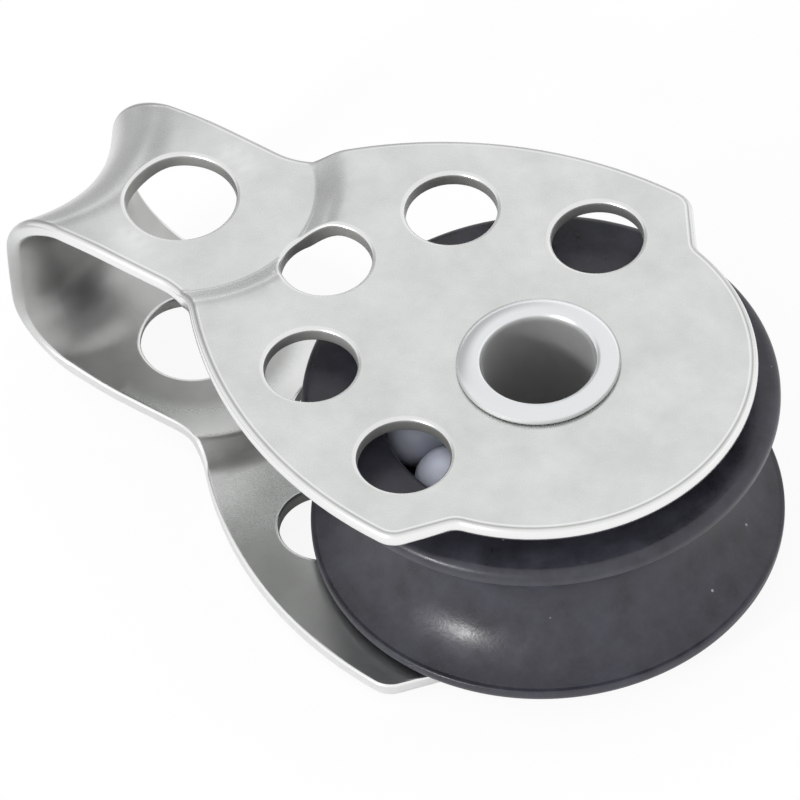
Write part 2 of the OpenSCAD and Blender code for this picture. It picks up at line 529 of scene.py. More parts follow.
@dataclass(frozen=True)
class GroundAcetal:
    """Natural acetal ground to a ball: milky, bluish white, and softly glossy."""

    name: str
    colour: str = "#D0D4E3"
    shade_colour: str = "#BEC3D2"
    roughness: float = 0.28
    cloud_mm: float = 0.9
    milkiness: float = 0.15
    milk_depth_mm: float = 0.5

    def build(self) -> bpy.types.Material:
        """The finish as a material: faint clouds in a milky white.

        Returns:
            The new material.
        """
        material, tree, place = new_material(self.name)
        clouds = add_node(tree, "ShaderNodeTexNoise", {
            "Vector": place, "Scale": noise_scale(self.cloud_mm), "Detail": 3.0})
        colour = add_node(tree, "ShaderNodeMix", {
            "Factor": clouds, "A": linear(self.shade_colour), "B": linear(self.colour)}, data_type="RGBA")
        shader = add_node(tree, "ShaderNodeBsdfPrincipled", {
            "Base Color": colour, "Roughness": self.roughness, "IOR": ACETAL_IOR,
            "Subsurface Weight": self.milkiness, "Subsurface Scale": self.milk_depth_mm * MM})
        add_node(tree, "ShaderNodeOutputMaterial", {"Surface": shader})
        return material


@dataclass
class StripOutline:
    """Edge of the flat strip on one half of the block, from the crown to the loop's crest.

    The first coordinate runs along the strip: it is X up to the bend line and goes on as the
    length round the bend. The second is Y. The strip starts to narrow shortly before the bend
    line.
    """

    crest: float
    bend_line: float
    crown_r: float = 9.95
    side_r: float = 20.8
    side_back: float = 0.4
    shoulder_h: float = 12.15
    corner_r: float = 1.3
    shoulder_x: float = 0.0
    shoulder_slope: float = math.radians(52.0)
    notch_r: float = 0.9
    waist_r: float = 3.5
    neck_h: float = 4.75
    loop_h: float = 4.5
    narrowing: float = 1.0
    step: float = 0.22

    def turn(self, centre: np.ndarray | tuple[float, float], radius: float, start: float, end: float,
             hollow: bool = False, fine: bool = False) -> tuple[np.ndarray, np.ndarray]:
        """One arc of the edge.

        Args:
            centre: X and Y of its centre.
            radius: Its radius.
            start: Angle of its first point, in radians from +X.
            end: Angle of its last point.
            hollow: True where the centre lies outside the sheet.
            fine: True for half the usual step.

        Returns:
            The points, and the unit normals into the sheet.
        """
        points, ray = arc(centre, radius, start, end, self.step / 2 if fine else self.step)
        return points, ray if hollow else -ray

    def slope(self, foot: np.ndarray, head: np.ndarray, normal: np.ndarray) -> tuple[np.ndarray, np.ndarray]:
        """One straight of the edge.

        Args:
            foot: Its first point.
            head: Its last point.
            normal: The unit normal into the sheet.

        Returns:
            The points, and the normal at each.
        """
        count = math.ceil(np.hypot(*(head - foot)) / self.step) + 1
        share = np.linspace(0, 1, count)[:, None]
        return foot + (head - foot) * share, np.tile(normal, (count, 1))

    def neck(self, start: float) -> tuple[np.ndarray, np.ndarray]:
        """The edge of the neck and the loop, as far as the crest.

        Half the width goes from the neck's to the loop's by 3 s^2 - 2 s^3 of the share s of
        the way, which begins just before the bend line.

        Args:
            start: Where the neck starts along the strip.

        Returns:
            The points, and the unit normals into the sheet.
        """
        along = np.linspace(start, self.crest, math.ceil((start - self.crest) / self.step) + 1)
        narrows = self.bend_line + self.narrowing
        share = np.clip((narrows - along) / (narrows - self.crest), 0, 1)
        half_width = self.neck_h + (self.loop_h - self.neck_h) * share ** 2 * (3 - 2 * share)
        slope = np.gradient(half_width, along)
        inward = np.stack([slope, -np.ones_like(slope)], axis=1)
        return np.stack([along, half_width], axis=1), inward / np.linalg.norm(inward, axis=1)[:, None]

    def half(self) -> tuple[np.ndarray, np.ndarray]:
        """The +Y half of the edge.

        Arcs and straights follow each other smoothly from the crown on the X axis: crown,
        notch, short slope, rounded shoulder, long side curve, waist, neck and loop.

        Returns:
            The points, and the unit normals into the sheet.
        """
        out_angle = math.pi / 2 - self.shoulder_slope
        out = np.array([math.cos(out_angle), math.sin(out_angle)])
        along = np.array([out[1], -out[0]])
        side = np.array([-self.side_back, self.shoulder_h - self.side_r])
        lean = math.asin(self.shoulder_x / (self.side_r - self.corner_r))
        corner = side + (self.side_r - self.corner_r) * np.array([math.sin(lean), math.cos(lean)])
        start = corner + (self.corner_r + self.notch_r) * out
        dot = start @ along
        reach = -dot - math.sqrt(dot ** 2 - start @ start + (self.crown_r + self.notch_r) ** 2)
        notch = start + along * reach
        rise = self.neck_h + self.waist_r - side[1]
        waist = side + [-math.sqrt((self.side_r + self.waist_r) ** 2 - rise ** 2), rise]
        notch_angle = math.atan2(notch[1], notch[0])
        side_angle = math.pi / 2 - lean
        waist_angle = math.atan2(waist[1] - side[1], waist[0] - side[0])
        runs = [
            self.turn((0, 0), self.crown_r, 0, notch_angle),
            self.turn(notch, self.notch_r, notch_angle + math.pi, out_angle + math.pi, hollow=True,
                      fine=True),
            self.slope(notch - self.notch_r * out, corner + self.corner_r * out, -out),
            self.turn(corner, self.corner_r, out_angle, side_angle, fine=True),
            self.turn(side, self.side_r, side_angle, waist_angle),
            self.turn(waist, self.waist_r, waist_angle - math.pi, -math.pi / 2, hollow=True),
            self.neck(waist[0]),
        ]
        edge = np.concatenate([runs[0][0]] + [points[1:] for points, _ in runs[1:]])
        normals = np.concatenate([runs[0][1]] + [normal[1:] for _, normal in runs[1:]])
        return edge, normals

    def whole(self) -> tuple[np.ndarray, np.ndarray]:
        """The whole edge, anticlockwise from the crest on the -Y side round to the +Y side.

        Returns:
            The points, and the unit normals into the sheet.
        """
        edge, normals = self.half()
        flip = np.array([1, -1])
        other_edge, other_normals = (edge * flip)[:0:-1], (normals * flip)[:0:-1]
        return np.concatenate([other_edge, edge]), np.concatenate([other_normals, normals])


def inside(points: np.ndarray, loop: np.ndarray) -> np.ndarray:
    """Which points lie inside a closed loop: a ray towards +X crosses it an odd number of times.

    Args:
        points: The points to test.
        loop: The loop's corners in order.

    Returns:
        One true or false value per point.
    """
    x, y = points[:, 0][:, None], points[:, 1][:, None]
    ax, ay = loop[:, 0][None], loop[:, 1][None]
    bx, by = np.roll(ax, -1, axis=1), np.roll(ay, -1, axis=1)
    spans = (ay > y) != (by > y)
    rise = np.where(by == ay, 1.0, by - ay)
    crossing = ax + (y - ay) / rise * (bx - ax)
    return (spans & (x < crossing)).sum(axis=1) % 2 == 1


def on_sheet(points: np.ndarray, outer: np.ndarray, holes: list[np.ndarray]) -> np.ndarray:
    """Which points lie inside an outer loop and in none of its holes.

    Args:
        points: The points to test.
        outer: The outer loop's corners in order.
        holes: The same of each hole.

    Returns:
        One true or false value per point.
    """
    keep = inside(points, outer)
    for hole in holes:
        keep &= ~inside(points, hole)
    return keep


def gap(points: np.ndarray, line: np.ndarray) -> np.ndarray:
    """The distance from each point to the nearest point of a line."""
    return np.min(np.linalg.norm(points[:, None] - line[None], axis=-1), axis=1)


@dataclass(frozen=True)
class HalfShape:
    """What the two halves of the strip have each of their own.

    It is the place of the shoulder along the cheek, the radius of the edge's inner corner,
    and the polish of the edge's outer and inner corner, which also sets their painted highlight.
    """

    shoulder_x: float
    inner_edge_r: float
    polish_and_painted_light: tuple[float, float]


@dataclass
class StrapFrame:
    """The stainless strip: two cheeks, two head plates and the loop that joins them."""

    finish: TumbledStainless
    sheet_t: float = 0.8
    edge_r: float = 0.36
    crest_inner_r: float = 0.34
    upper: HalfShape = HalfShape(0.0, 0.3, (1.0, 1.0))
    # The lower half's outer corner has less polish, so a fainter painted highlight.
    lower: HalfShape = HalfShape(-0.9, 0.14, (0.7, 1.0))
    hole_edge_r: float = 0.2
    # Share of an edge's polish and painted highlight that a hole's rim gets.
    hole_polish_and_light: float = 0.4
    # A punched hole's wall: rough, and tinted darker as painted shade.
    wall_roughness_and_shade: float = -2.0
    guard: float = 0.05
    eye_x: float = 20.0
    eye_r: float = 2.55
    axle_hole_r: float = 2.82
    light_r: float = 2.12
    light_holes: tuple[tuple[float, float], ...] = (
        (-2.05, 7.76), (-8.69, 5.6), (-11.8, 0.0), (-8.69, -5.6), (-2.05, -7.76))
    joggle: float = 0.65
    joggle_y: float = 0.3
    joggle_start_r: float = 6.1
    joggle_end_r: float = 7.6
    loop_x: float = 25.85
    saddle_depth: float = 1.6
    bend_r_middle: float = 4.0
    bend_r_edge: float = 3.1
    # Past this square of the share of the width the bend gets no tighter.
    tightest: float = 1.2
    pinch: float = 0.33
    # How far a pinched point moves towards +X, as a share of how far it moves down.
    pinch_lean: float = 0.6
    bend_line: float = -20.95
    # X, Y and size of each place that a shackle has rubbed.
    rub_places: tuple[tuple[float, float, float], ...] = (
        (-19.8, -3.5, 0.7), (-20.8, -3.3, 0.6), (-19.6, 3.4, 0.6), (-18.5, 3.1, 0.6))
    rub_strength: float = 0.6
    ripple_depth: float = 0.4
    ripple_along: float = 9.0
    ripple_across: float = 7.0
    ripple_shift: float = 1.0
    # Rows of the edge's section that hold a painted dark line, and what multiplies their polish to paint it.
    painted_line_rows: tuple[int, int] = (2, 4)
    painted_line_shade: tuple[float, float] = (-0.8, 0.3)
    # The loop's crest edge: rougher, and tinted darker as painted shade.
    crest_painted_shade: float = -0.65
    # Shares of the loop's length between which the edge turns into the crest's.
    crest_fade: tuple[float, float] = (0.25, 0.85)
    # Distance from the middle of the joggle's arc, and the inner face's value there: below 0 it paints
    # shade, above 0 a highlight.
    inner_polish_and_light: tuple[tuple[float, float], ...] = (
        (4.2, -0.7), (5.2, 0.45), (6.2, 0.45), (6.5, -1.0), (7.8, -1.0), (8.3, -0.15),
        (11.0, -0.15), (14.0, -0.3))
    face_step: float = 0.33
    # Least distance of the mesh's grid from its lines, in steps.
    face_clearance: float = 0.6
    crest_points: int = 26
    edge_steps: int = 5
    slope_step: float = 0.02
    # How far past the joggle's start each line of the mesh runs round it.
    joggle_rings: tuple[float, ...] = (-0.15, 0.0, 0.12, 0.26, 0.4, 0.55, 0.8, 1.1, 1.5, 1.9)
    joggle_sweep: float = 1.2
    joggle_step: float = 0.26
    joggle_clearance: float = 0.12
    head_z: float = field(init=False)
    crest_x: float = field(init=False)
    bend_length: float = field(init=False)

    def __post_init__(self) -> None:
        """Takes the height from the frame, and works out the middle of the sheet from it."""
        _, high = cad_extent("strap_frame")
        self.head_z = float(high[2]) - self.sheet_t / 2 - self.joggle
        self.crest_x = -self.loop_x + self.sheet_t / 2
        flat = self.bend_line - (self.crest_x + self.bend_r_middle)
        self.bend_length = flat + self.bend_r_middle * math.pi / 2 + (self.head_z - self.bend_r_middle)

    def loop(self, flat: np.ndarray) -> np.ndarray:
        """Where points of the flat strip lie on the middle surface of the upper half's loop.

        Past the bend line the strip follows a straight, an arc and a straight down to the
        crest. By the square of the share of the width, the arc is tighter towards the edges,
        the crest lies further out, and the corner is pinched in. Along the bend the pinch
        follows sin(pi s)^2 of the share s of the way.

        Args:
            flat: Rows of length along the strip, and Y.

        Returns:
            Rows of X, Y and Z.
        """
        p, y = flat[:, 0], flat[:, 1]
        out = (y / StripOutline.loop_h) ** 2
        tight = np.minimum(out, self.tightest)
        bend_r = self.bend_r_middle + (self.bend_r_edge - self.bend_r_middle) * tight
        crest = self.crest_x - self.saddle_depth * out
        straight = self.bend_line - crest - bend_r
        length = straight + bend_r * math.pi / 2 + self.head_z - bend_r
        s = np.maximum(self.bend_line - p, 0) / self.bend_length * length
        first = np.minimum(s, straight)
        turn = np.clip(s - straight, 0, bend_r * math.pi / 2) / bend_r
        last = np.maximum(s - straight - bend_r * math.pi / 2, 0)
        x = np.where(p > self.bend_line, p, self.bend_line - first - bend_r * np.sin(turn))
        z = np.where(p > self.bend_line, self.head_z, self.head_z - bend_r + bend_r * np.cos(turn) - last)
        nip = self.pinch * out * np.sin(np.clip(s / length, 0, 1) * math.pi) ** 2
        return np.stack([x + nip * self.pinch_lean, y, z - nip], axis=1)

    def bent(self, flat: np.ndarray, height: np.ndarray | float) -> np.ndarray:
        """Points of the bent sheet of the upper half, at a height over its middle.

        Round the head the sheet rises by the joggle as sin(pi u / 2) of the distance from a
        point beside the eye's centre, and the inner face starts to rise half the sheet's
        thickness further out, which keeps it as thick. In the loop the height is laid off along
        the normal, the cross product of the two central differences of the middle surface.

        Args:
            flat: Rows of length along the strip, and Y.
            height: Height over the middle surface, outwards.

        Returns:
            Rows of X, Y and Z.
        """
        height = np.broadcast_to(height, len(flat))
        p, y = flat[:, 0], flat[:, 1]
        start = self.joggle_start_r + (self.sheet_t / 2 - height) / 2
        distance = np.hypot(p + self.eye_x, y - self.joggle_y)
        u = np.clip((distance - start) / (self.joggle_end_r - self.joggle_start_r), 0, 1)
        leaf = np.stack([p, y, self.head_z + height + self.joggle * np.sin(u * math.pi / 2)], axis=1)
        step = self.slope_step
        ahead = self.loop(flat + [step, 0]) - self.loop(flat - [step, 0])
        across = self.loop(flat + [0, step]) - self.loop(flat - [0, step])
        normal = np.cross(ahead, across)
        normal /= np.linalg.norm(normal, axis=1)[:, None]
        return np.where((p > self.bend_line)[:, None], leaf, self.loop(flat) + normal * height[:, None])

    def edge_profile(self, outer_r: float, inner_r: np.ndarray) -> tuple[np.ndarray, np.ndarray]:
        """Sections of a rounded sheet edge, from the outer face round to the inner one.

        Each starts and ends with a narrow flat, which keeps the faces' shading level. A corner
        of radius r is the arc (r (1 - sin a), t / 2 - r (1 - cos a)) of the sheet's thickness t.

        Args:
            outer_r: Radius of the outer corner.
            inner_r: Radius of the inner corner at each point of the path.

        Returns:
            Distance into the sheet and height over its middle, one column per point of the path.
        """
        turn = np.linspace(0, math.pi / 2, self.edge_steps + 1)[:, None]
        half_t, one = self.sheet_t / 2, np.ones((1, len(inner_r)))
        flat_end = (outer_r + self.guard) * one
        inward = np.concatenate([
            flat_end, outer_r * (1 - np.sin(turn)) * one, (inner_r * (1 - np.sin(turn)))[::-1],
            inner_r[None] + self.guard, flat_end])
        height = np.concatenate([
            half_t * one, half_t - outer_r * (1 - np.cos(turn)) * one,
            (inner_r * (1 - np.cos(turn)) - half_t)[::-1], -half_t * one, -half_t * one])
        return inward, height

    def rim(self, path: np.ndarray, normals: np.ndarray, outer_r: float, inner_r: float, closed: bool,
            corner_polish_and_light: tuple[float, float]) -> Surface:
        """The rounded edge of the sheet, carried along a path with the sheet on its left.

        Its polish and painted light go from the outer corner's to the inner one's, apart from the
        wall of a hole, which is rough and painted with shade, or a painted dark line where the
        strip's outer corner starts. Along the loop they and the inner corner's radius turn into the
        crest's, which paints shade.

        Args:
            path: Points along the edge of the flat strip.
            normals: Unit normals into the sheet.
            outer_r: Radius of the edge's outer corner.
            inner_r: Radius of its inner corner, away from the loop.
            closed: True for a hole.
            corner_polish_and_light: Polish of the outer and of the inner corner, which also sets their
                painted highlight.

        Returns:
            The bent strip of surface.
        """
        start, end = self.crest_fade
        share = np.clip(((self.bend_line - path[:, 0]) / self.bend_length - start) / (end - start), 0, 1)
        inward, height = self.edge_profile(outer_r, inner_r + (self.crest_inner_r - inner_r) * share)
        flat = path[None] + normals[None] * inward[:, :, None]
        points = self.bent(flat.reshape(-1, 2), height.reshape(-1))
        corners = np.linspace(*corner_polish_and_light, len(inward))
        if closed:
            # A hole's wall is rough and tinted darker as painted shade.
            corners[self.edge_steps:-self.edge_steps - 1] = self.wall_roughness_and_shade
        else:
            # A painted dark line along the outer corner.
            corners[slice(*self.painted_line_rows)] *= self.painted_line_shade
        # Along the loop the edge turns into the crest's painted shade.
        polish_and_painted_light = corners[:, None] * (1 - share) + self.crest_painted_shade * share
        polish_and_painted_light[0] = self.rubbed(flat[0])
        # The inner face's guard rows take its painted light and shade.
        polish_and_painted_light[-2:] = self.inner_face_light_and_shade(flat[-2:].reshape(-1, 2)).reshape(2, -1)
        return Surface(points, [grid_quads(len(inward), len(path), False, closed)], polish_and_painted_light.reshape(-1))

    def rubbed(self, flat: np.ndarray) -> np.ndarray:
        """How far a shackle has burnished the sheet on both sides of the eye, which its lighter colour shows
        as a painted highlight.

        Each rubbed place fades as exp(-(distance / its size)^2), and a product of two sine
        waves breaks it up.

        Args:
            flat: Rows of length along the strip, and Y.

        Returns:
            The polish of each point.
        """
        along = np.sin(flat[:, 0] * self.ripple_along)
        across = np.sin(flat[:, 1] * self.ripple_across + self.ripple_shift)
        ripple = 1 - self.ripple_depth + self.ripple_depth * along * across
        total = np.zeros(len(flat))
        for x, y, size in self.rub_places:
            total += np.exp(-((flat[:, 0] - x) ** 2 + (flat[:, 1] - y) ** 2) / size ** 2)
        return np.clip(total * ripple, 0, 1) * self.rub_strength

    def inner_face_light_and_shade(self, flat: np.ndarray) -> np.ndarray:
        """The polish and painted light of the inner face.

        It paints shade round the eye, in the whole loop and in the joggle, a highlight in a ring
        between the eye and the joggle, and is nearly plain in the cheek.

        Args:
            flat: Rows of length along the strip, and Y.

        Returns:
            The polish of each point, by its distance from the middle of the joggle's arc.
        """
        distance = np.hypot(flat[:, 0] + self.eye_x, flat[:, 1] - self.joggle_y)
        distance = np.where(flat[:, 0] < self.bend_line, 0, distance)
        return np.interp(distance, *np.array(self.inner_polish_and_light).T)

    def holes(self) -> list[tuple[float, float, float]]:
        """Centre and radius of each hole in one half of the strip."""
        light = [(x, y, self.light_r) for x, y in self.light_holes]
        return [(0.0, 0.0, self.axle_hole_r), (-self.eye_x, 0.0, self.eye_r), *light]

    def joggle_lines(self, outer: np.ndarray, rings: list[np.ndarray]) -> list[np.ndarray]:
        """Arcs round the eye that the mesh follows where the sheet rises.

        Args:
            outer: The loop that bounds the flat strip, which the arcs keep clear of.
            rings: The same of each hole.

        Returns:
            The stretches of each arc that lie on the sheet.
        """
        lines = []
        for shift in self.joggle_rings:
            points, _ = arc((-self.eye_x, self.joggle_y), self.joggle_start_r + shift,
                            -self.joggle_sweep, self.joggle_sweep, self.joggle_step)
            keep = on_sheet(points, outer, rings)
            keep &= gap(points, np.concatenate([outer, *rings])) > self.joggle_clearance
            breaks = np.flatnonzero(np.diff(keep.astype(int))) + 1
            runs = [run for run, use in zip(np.split(points, breaks), np.split(keep, breaks)) if use[0]]
            lines += [run for run in runs if len(run) > 1]
        return lines

    def lattice(self, low: np.ndarray, high: np.ndarray) -> np.ndarray:
        """The corners of equilateral triangles that fill a box.

        Args:
            low: The box's lowest X and Y.
            high: Its highest X and Y.

        Returns:
            Rows of X and Y.
        """
        rows = np.arange(low[1], high[1], self.face_step * math.sqrt(3) / 2)
        columns = np.arange(low[0], high[0], self.face_step)
        shift = (np.arange(len(rows)) % 2)[:, None] * self.face_step / 2
        grid = np.stack([columns[None] + shift, rows[:, None] + 0 * columns[None]], axis=-1)
        return grid.reshape(-1, 2)

    def faces(self, outer: np.ndarray, rings: list[np.ndarray]) -> tuple[np.ndarray, np.ndarray]:
        """Triangles that fill the flat strip between its rounded edges.

        A grid of equilateral triangles fills the inside, and a Delaunay mesh joins it to the
        edges and to the lines of the joggle.

        Args:
            outer: The inner line of the outer edge's rounding, closed along the crest.
            rings: The same line of each hole.

        Returns:
            The points and the triangles.
        """
        grid = self.lattice(outer.min(axis=0), outer.max(axis=0))
        loops, lines = [outer, *rings], self.joggle_lines(outer, rings)
        keep = on_sheet(grid, outer, rings)
        for line in [*loops, *lines]:
            keep &= gap(grid, line) > self.face_clearance * self.face_step
        points = np.concatenate([*loops, *lines, grid[keep]])
        edges, start = [], 0
        for number, line in enumerate([*loops, *lines]):
            here = np.arange(len(line))
            pairs = np.stack([here, np.roll(here, -1)], axis=1) + start
            edges += (pairs if number < len(loops) else pairs[:-1]).tolist()
            start += len(line)
        corners = [tuple(point) for point in points.tolist()]
        _, _, found, origin, _, _ = delaunay_2d_cdt(corners, edges, [], 0, MATCH_MM)
        source = np.array([numbers[0] for numbers in origin])
        triangles = source[np.array(found)]
        return points, triangles[on_sheet(points[triangles].mean(axis=1), outer, rings)]

    def half(self, shape: HalfShape) -> Surface:
        """One half of the strap, laid out as the upper one, from the crown to the loop's crest.

        Args:
            shape: What this half has of its own.

        Returns:
            Its rounded edges and its two faces.
        """
        crest = self.bend_line - self.bend_length
        outline = StripOutline(crest, self.bend_line, shoulder_x=shape.shoulder_x)
        edge, normals = outline.whole()
        half = self.rim(edge, normals, self.edge_r, shape.inner_edge_r, False, shape.polish_and_painted_light)
        # The corners' polish and painted highlight, and a share of them for the holes' rims.
        outer_polish_and_light, inner_polish_and_light = shape.polish_and_painted_light
        hole_polish_and_light = (outer_polish_and_light * self.hole_polish_and_light, inner_polish_and_light * self.hole_polish_and_light)
        hole_inner_r = min(shape.inner_edge_r, self.hole_edge_r - self.guard)
        inner_edge = edge + normals * (self.edge_r + self.guard)
        across = np.linspace(inner_edge[-1, 1], inner_edge[0, 1], self.crest_points)[1:-1]
        crest_line = np.stack([np.full(len(across), edge[0, 0]), across], axis=1)
        rings = []
        for x, y, radius in self.holes():
            points, ray = arc((x, y), radius, 2 * math.pi, 0, outline.step)
            points, ray = points[:-1], ray[:-1]
            half = half.joined(self.rim(points, ray, self.hole_edge_r, hole_inner_r, True, hole_polish_and_light))
            rings.append(points + ray * (self.hole_edge_r + self.guard))
        flat, triangles = self.faces(np.concatenate([inner_edge, crest_line]), rings)
        outer_face = Surface(self.bent(flat, self.sheet_t / 2), [triangles], self.rubbed(flat))
        # The inner face carries painted shade and a painted highlight ring.
        inner_face = Surface(self.bent(flat, -self.sheet_t / 2), [triangles[:, ::-1]], self.inner_face_light_and_shade(flat))
        return half.joined(outer_face).joined(inner_face)

    def build(self) -> bpy.types.Object:
        """Makes the strap from its upper half and the mirror image of its lower one."""
        whole = self.half(self.upper).joined(self.half(self.lower).mirrored())
        return make_piece("bent_strap", whole, "frame", self.finish.build(), ("strap_frame",))


@dataclass
class Axle:
    """The hollow rivet that joins the cheeks, and the sleeve round it that the balls run on."""

    rivet_finish: TumbledStainless
    race_finish: TumbledStainless
    bore_r: float = 2.55
    wall: float = 0.25
    ring_lip_r: float = 0.1
    lip_gap: float = 0.05
    lip_points: int = 5
    tuck_depth: float = 0.05
    tuck_width: float = 0.1
    roll_width: float = 0.3
    roll_depth: float = 0.45
    # Depth of the painted light on the top of the bore's wall, and the length over which it fades.
    bore_light_depth: float = 0.1
    bore_light_fade: float = 0.15
    # Width of the lip that is left plain, darker than the ring, as a painted dark line under it.
    shaded_lip_r: float = 0.12
    ring_points: int = 10
    bore_points: int = 48
    race_bore_r: float = 2.85
    race_edge_r: float = 0.25
    steps: int = 160

    def ring(self, ring_r: float, cheek_z: float, ring_h: float) -> np.ndarray:
        """Section of the rolled ring on the upper cheek, from its lip in to the bore.

        Its two sides are quarters of ellipses that meet at the crest: a flat one that falls
        outwards to a lip, rolled under and just clear of the cheek, and a steep one that falls
        into the bore.

        Args:
            ring_r: Outer radius of the ring.
            cheek_z: Height of the cheek's outer face.
            ring_h: Height of the ring over it.

        Returns:
            Rows of radius and height.
        """
        lip = self.ring_lip_r
        lip_turn = np.linspace(-math.pi / 2, 0, self.lip_points)[:-1]
        rolled = np.stack([ring_r - lip + lip * np.cos(lip_turn),
                           cheek_z + lip + self.lip_gap + lip * np.sin(lip_turn)], axis=1)
        turn = np.linspace(0, math.pi / 2, self.ring_points)
        crest_r = self.bore_r + self.roll_width
        fall = ring_h - lip - self.lip_gap
        outside = np.stack([crest_r + (ring_r - crest_r) * np.cos(turn),
                            cheek_z + ring_h - fall * (1 - np.sin(turn))], axis=1)
        inward = np.stack([crest_r - self.roll_width * np.sin(turn),
                           cheek_z + ring_h - self.roll_depth * (1 - np.cos(turn))], axis=1)
        tube_r = self.bore_r + self.wall
        tuck = [[tube_r, cheek_z - self.tuck_depth], [tube_r + self.tuck_width, cheek_z + self.lip_gap]]
        return np.concatenate([tuck, rolled, outside, inward[1:]])

    def build_rivet(self) -> bpy.types.Object:
        """Makes the rivet: a rough thin tube, darker as painted shade in its bore, whose ends are rolled
        over into polished rings with a painted highlight.

        The polish and its painted highlight end at the lip outside, which is left plain and darker as a
        painted dark line under the ring. Inside they fade out down the bore as painted light on the top of
        its wall.

        Returns:
            The rivet.
        """
        _, high = cad_extent("hollow_rivet")
        _, strap_high = cad_extent("strap_frame")
        upper = self.ring(high[0], strap_high[2], high[2] - strap_high[2])
        rows = np.linspace(upper[-1, 1], -upper[-1, 1], self.bore_points)[1:-1]
        bore = np.stack([np.full(len(rows), self.bore_r), rows], axis=1)
        section = np.concatenate([upper, bore, upper[::-1] * [1, -1]])
        # The rings' polish paints a highlight, and down the bore it fades as painted light on the top of the
        # wall.
        past_roll = high[2] - self.bore_light_depth - np.abs(section[:, 1])
        in_bore = section[:, 0] < (high[0] + self.bore_r) / 2
        polish_and_painted_light = np.where(in_bore, np.clip(1 - past_roll / self.bore_light_fade, 0, 1), 1.0)
        # The plain lip is a painted dark line under the ring.
        polish_and_painted_light[section[:, 0] > high[0] - self.shaded_lip_r] = 0
        return make_piece("rolled_rivet", revolved(section, self.steps, polish_and_painted_light), "frame",
                          self.rivet_finish.build(), ("hollow_rivet",))

    def build_race(self) -> bpy.types.Object:
        """Makes the inner race: a plain sleeve with rounded edges.

        Returns:
            The race.
        """
        low, high = cad_extent("inner_race")
        edge = self.race_edge_r
        section = rounded_section([
            (self.race_bore_r, high[2], edge / 2), (self.race_bore_r, low[2], edge / 2),
            (high[0], low[2], edge), (high[0], high[2], edge)])
        return make_piece("race_sleeve", revolved(section, self.steps), "frame",
                          self.race_finish.build(), ("inner_race",))


@dataclass
class Sheave:
    """The moulded sheave, with a round rope groove and a pocket for each row of balls.

    The pockets clear the balls by the ball gap, and the web between them clears the race.
    """

    finish: MouldedAcetal
    groove_bottom_r: float = 8.1
    rim_t: float = 0.72
    rim_worn: float = 0.08
    rim_edge_r: float = 0.42
    bead_edge_r: float = 0.1
    bead_step: float = 0.22
    foot_rise: float = 0.03
    foot_edge_r: float = 0.02
    ball_gap: float = 0.05
    web_gap: float = 0.15
    pocket_edge_r: float = 0.2
    web_edge_r: float = 0.1
    steps: int = 256
    groove_points: int = 33
    middle_z: float = field(init=False)
    pocket_r: float = field(init=False)
    pocket_floor: float = field(init=False)
    web_r: float = field(init=False)

    def __post_init__(self) -> None:
        """Works out the pockets from the frame's balls, race and sheave."""
        low, high = cad_extent("sheave")
        ball_low, ball_high = cad_extent("upper_ball_1")
        _, race_high = cad_extent("inner_race")
        self.middle_z = (low[2] + high[2]) / 2
        self.pocket_r = race_high[0] + ball_high[2] - ball_low[2] + 2 * self.ball_gap
        self.pocket_floor = ball_low[2] - self.middle_z - self.ball_gap
        self.web_r = race_high[0] + self.web_gap

    def section(self, rim_r: float, half_w: float) -> np.ndarray:
        """The sheave's section about its own middle.

        The groove is one arc through both feet of the rims' beads and its own bottom: its
        radius is (m^2 + d^2) / 2 d for half the mouth's width m and the depth d. A bead stands
        a small step above the groove at each side.

        Args:
            rim_r: Outer radius.
            half_w: Half the width over the rims.

        Returns:
            Rows of radius and height, anticlockwise.
        """
        mouth = half_w - self.rim_t
        foot_r = rim_r - self.bead_step
        depth = foot_r - self.groove_bottom_r
        groove_r = (mouth ** 2 + depth ** 2) / (2 * depth)
        reach = math.asin(mouth / groove_r)
        # The arc's first and last points make room for the rounding of the beads' feet.
        swing = np.linspace(-reach, reach, self.groove_points)[2:-2]
        centre = self.groove_bottom_r + groove_r
        groove = [(centre - groove_r * math.cos(a), groove_r * math.sin(a), 0) for a in swing]
        lower = [(self.web_r, -self.pocket_floor, self.web_edge_r),
                 (self.pocket_r, -self.pocket_floor, self.web_edge_r),
                 (self.pocket_r, -half_w, self.pocket_edge_r),
                 (rim_r, -half_w, self.rim_edge_r),
                 (rim_r, -mouth, self.bead_edge_r),
                 (foot_r, -mouth + self.foot_rise, self.foot_edge_r)]
        upper = [(r, -z, rounding) for r, z, rounding in reversed(lower)]
        return rounded_section([*lower, *groove, *upper])

    def build(self) -> bpy.types.Object:
        """Makes the sheave where it has settled, between the cheeks.

        Returns:
            The sheave.
        """
        low, high = cad_extent("sheave")
        section = self.section(high[0] - self.rim_worn, (high[2] - low[2]) / 2) + [0, self.middle_z]
        return make_piece("moulded_sheave", revolved(section, self.steps), "sheave",
                          self.finish.build(), ("sheave",))


@dataclass
class BallRow:
    """One full row of balls, which runs between the race and the sheave."""

    side: Side
    material: bpy.types.Material

    def build(self) -> list[bpy.types.Object]:
        """Makes a ball in the place of each ball of the frame's row.

        Returns:
            The balls, in the order of their numbers.
        """
        word = self.side.value
        nodes = sorted((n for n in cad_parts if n.startswith(f"{word}_ball_")),
                       key=lambda n: int(n.rsplit("_", 1)[1]))
        pieces = []
        for node in nodes:
            low, high = cad_extent(node)
            surface = ball_surface((low + high) / 2, (high - low).max() / 2)
            number = node.rsplit("_", 1)[1]
            pieces.append(make_piece(f"{word}_bearing_ball_{number}", surface, f"{word}_balls",
                                     self.material, (node,)))
        return pieces


